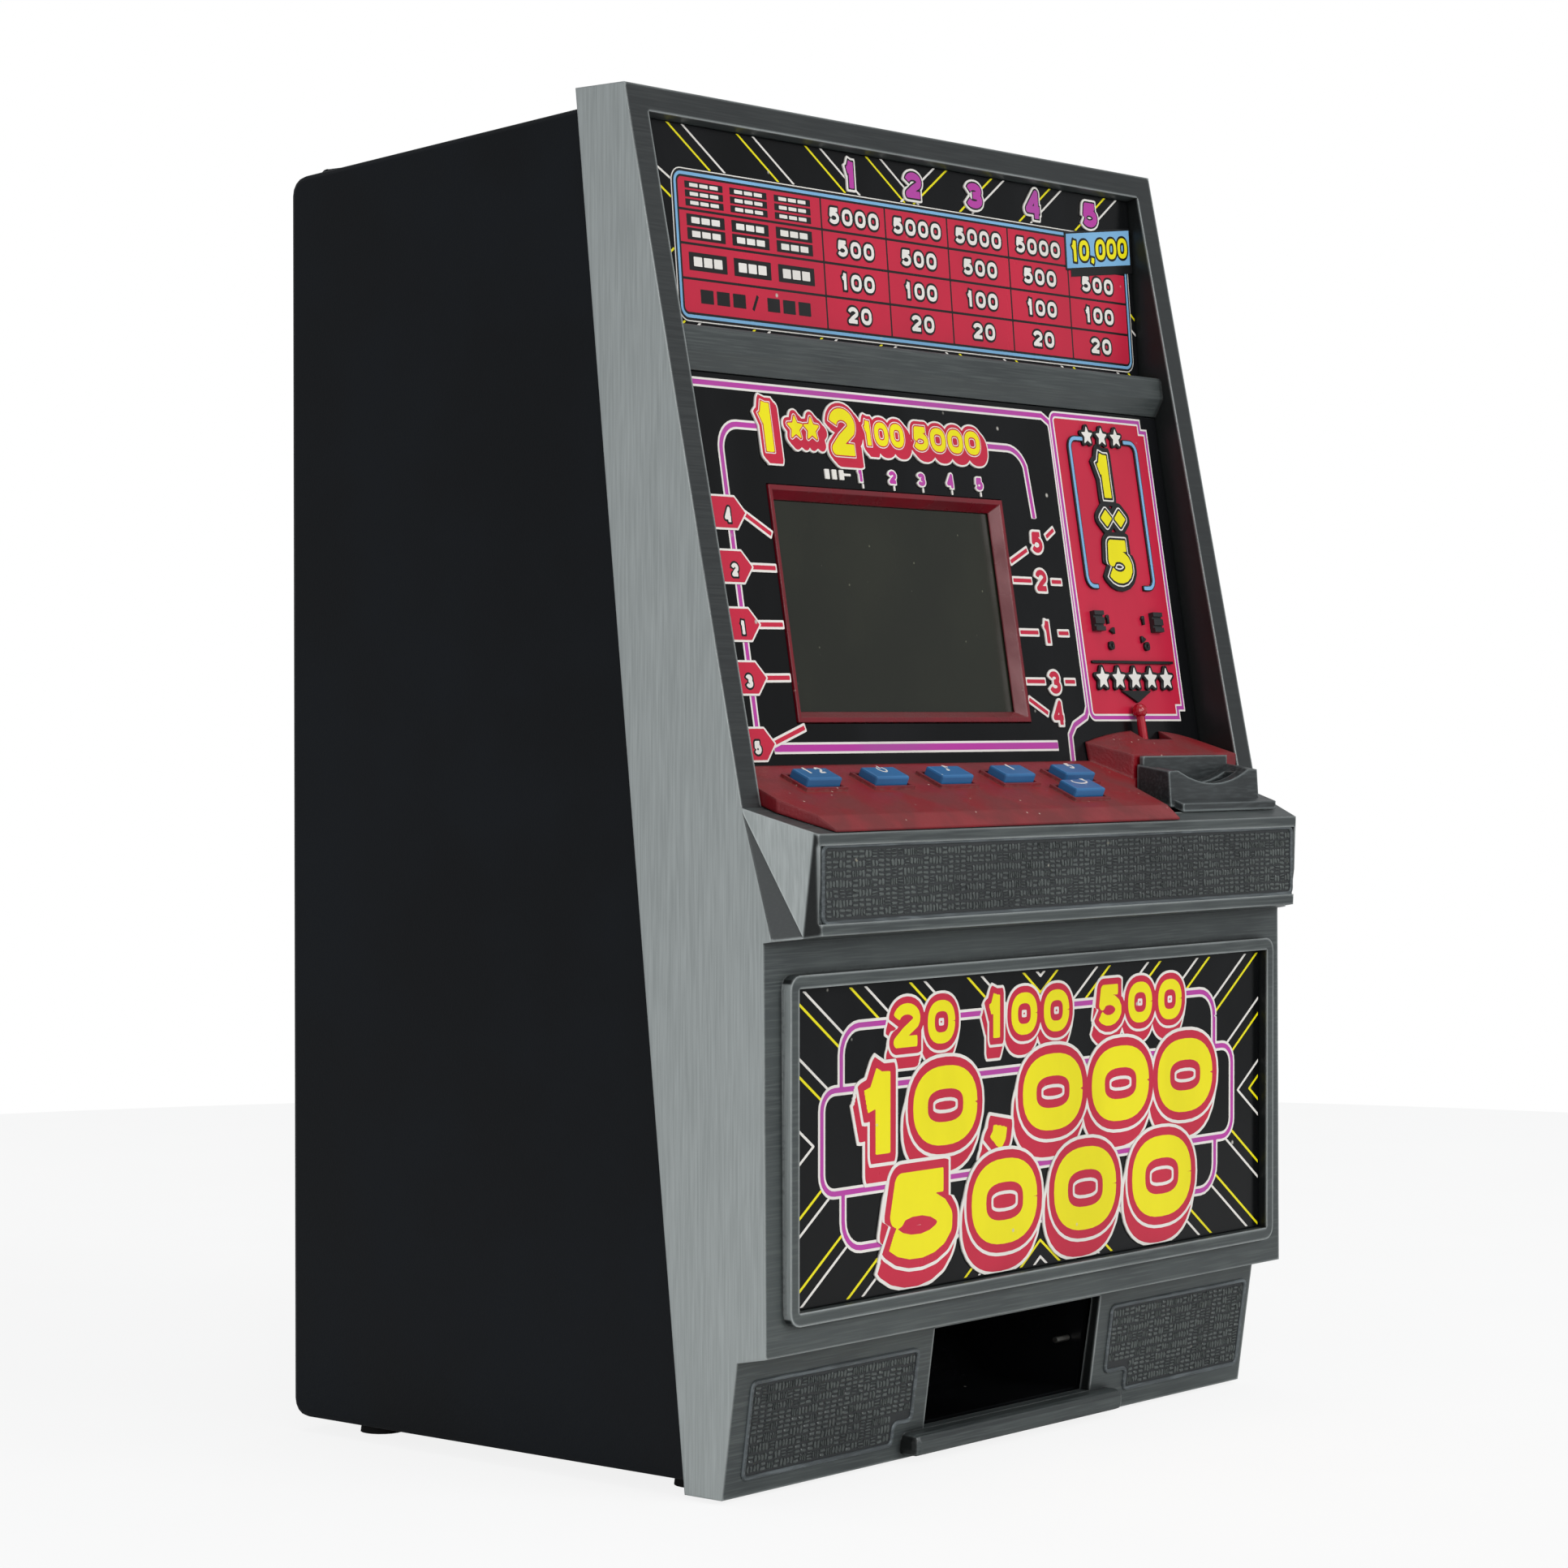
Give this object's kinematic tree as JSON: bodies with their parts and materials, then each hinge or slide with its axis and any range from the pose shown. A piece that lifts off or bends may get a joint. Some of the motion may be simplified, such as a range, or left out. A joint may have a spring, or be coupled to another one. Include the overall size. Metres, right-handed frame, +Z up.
{
  "type": "toy slot machine",
  "caption": "Tabletop toy slot machine and coin bank with a display, press buttons, coin mouth, payout lever and tray, and a hinged rear door.",
  "frame": {"origin": "centre of the whole object's bounding box, on the plane it stands on", "axes": "+Z up, the printed front faces -Y, +X to the right seen from the front"},
  "size_m": [0.1924, 0.1508, 0.2957],
  "materials": {
    "black_abs": "moulded black ABS with a fine matte grain",
    "silver_painted_abs": "black ABS with silver paint rubbed over it, worn lighter at the edges",
    "printed_panel": "gloss plastic sheet printed in black, red, magenta, yellow and white",
    "red_abs": "moulded red ABS, satin, dusty on top",
    "blue_abs": "moulded blue ABS, satin, with a white printed mark",
    "display_glass": "dark olive liquid crystal glass, switched off",
    "circuit_board": "green solder mask",
    "steel": "plain zinc-plated steel",
    "rubber": "black rubber",
    "cell_wrap": "plain wrapped dry cell",
    "speaker_paper": "treated paper"
  },
  "bodies": {
    "cabinet": {"battery_1": "cell_wrap", "battery_2": "cell_wrap", "battery_3": "cell_wrap", "battery_box": "black_abs", "battery_contact_front": "steel", "battery_contact_rear": "steel", "bell_switch_housing": "steel", "belly_sign": "printed_panel", "board_screw_1": "steel", "board_screw_2": "steel", "button_board": "circuit_board", "button_deck": "red_abs", "button_membrane": "rubber", "coin_bin": "black_abs", "coin_chute": "black_abs", "coin_mouth": "silver_painted_abs", "coin_switch": "black_abs", "coin_tray": "black_abs", "foot_front_left": "rubber", "foot_front_right": "rubber", "foot_rear_left": "rubber", "foot_rear_right": "rubber", "frame_screw_left_high": "steel", "frame_screw_left_low": "steel", "frame_screw_right_high": "steel", "frame_screw_right_low": "steel", "front_frame": "silver_painted_abs", "game_panel": "printed_panel", "hinge_pin_left": "steel", "hinge_pin_right": "steel", "jackpot_switch_housing": "steel", "lcd_bezel": "red_abs", "lcd_module": "circuit_board", "lcd_window": "display_glass", "lever_bracket": "steel", "lever_pin": "steel", "main_board": "circuit_board", "payout_sign": "printed_panel", "rear_shell": "black_abs", "speaker_basket": "steel", "speaker_cone": "speaker_paper", "tray_stop_pin": "steel"},
    "rear_door": {"rear_door": "black_abs"},
    "player_button": {"player_button": "blue_abs"},
    "power_button": {"power_button": "blue_abs"},
    "sound_button": {"sound_button": "blue_abs"},
    "bet_button": {"bet_button": "blue_abs"},
    "max_bet_button": {"max_bet_button": "blue_abs"},
    "spin_button": {"spin_button": "blue_abs"},
    "bell_switch_knob": {"bell_switch_knob": "black_abs"},
    "jackpot_switch_knob": {"jackpot_switch_knob": "black_abs"},
    "winner_lever": {"winner_lever": "red_abs"},
    "pull_rod": {"pull_rod": "steel"},
    "payout_gate": {"payout_gate": "black_abs", "gate_pin": "steel"},
    "coin_switch_lever": {"coin_switch_lever": "steel"},
    "battery_cover": {"battery_cover": "black_abs"}
  },
  "joints": [
    {"name": "rear_door_hinge", "type": "hinge", "parent": "cabinet", "child": "rear_door", "pos_m": [0, 0.07135, 0.2846], "axis": [1, 0, 0], "range_deg": [0, 100]},
    {"name": "player_button_press", "type": "slide", "parent": "cabinet", "child": "player_button", "axis": [0, 0.4035, -0.915], "range_m": [0, 0.0012], "stiffness_N_per_m": 250},
    {"name": "power_button_press", "type": "slide", "parent": "cabinet", "child": "power_button", "axis": [0, 0.4035, -0.915], "range_m": [0, 0.0012], "stiffness_N_per_m": 250},
    {"name": "sound_button_press", "type": "slide", "parent": "cabinet", "child": "sound_button", "axis": [0, 0.4035, -0.915], "range_m": [0, 0.0012], "stiffness_N_per_m": 250},
    {"name": "bet_button_press", "type": "slide", "parent": "cabinet", "child": "bet_button", "axis": [0, 0.4035, -0.915], "range_m": [0, 0.0012], "stiffness_N_per_m": 250},
    {"name": "max_bet_button_press", "type": "slide", "parent": "cabinet", "child": "max_bet_button", "axis": [0, 0.4035, -0.915], "range_m": [0, 0.0012], "stiffness_N_per_m": 250},
    {"name": "spin_button_press", "type": "slide", "parent": "cabinet", "child": "spin_button", "axis": [0, 0.4035, -0.915], "range_m": [0, 0.0012], "stiffness_N_per_m": 250},
    {"name": "bell_switch_slide", "type": "slide", "parent": "cabinet", "child": "bell_switch_knob", "axis": [0, -0.1661, -0.9861], "range_m": [0, 0.004]},
    {"name": "jackpot_switch_slide", "type": "slide", "parent": "cabinet", "child": "jackpot_switch_knob", "axis": [0, -0.1661, -0.9861], "range_m": [0, 0.004]},
    {"name": "winner_lever_swing", "type": "hinge", "parent": "cabinet", "child": "winner_lever", "pos_m": [0.063, -0.05253, 0.1402], "axis": [0, 0.9861, -0.1661], "range_deg": [0, 22], "stiffness_Nm_per_rad": 0.02},
    {"name": "pull_rod_lift", "type": "slide", "parent": "cabinet", "child": "pull_rod", "axis": [0, 0, 1], "range_m": [0, 0.0062]},
    {"name": "payout_gate_swing", "type": "hinge", "parent": "cabinet", "child": "payout_gate", "pos_m": [0, -0.04665, 0.0361], "axis": [-1, 0, 0], "range_deg": [0, 45]},
    {"name": "coin_switch_lever_tip", "type": "hinge", "parent": "cabinet", "child": "coin_switch_lever", "pos_m": [0.08445, -0.0637, 0.132], "axis": [0, -1, 0], "range_deg": [0, 14], "stiffness_Nm_per_rad": 0.0005},
    {"name": "battery_cover_slide", "type": "slide", "parent": "cabinet", "child": "battery_cover", "axis": [0, 1, 0], "range_m": [0, 0.01]}
  ],
  "couplings": [
    {"joint": "pull_rod_lift", "follows": "winner_lever_swing", "m_per_rad": 0.0156},
    {"joint": "payout_gate_swing", "follows": "winner_lever_swing", "ratio": 2.04}
  ]
}
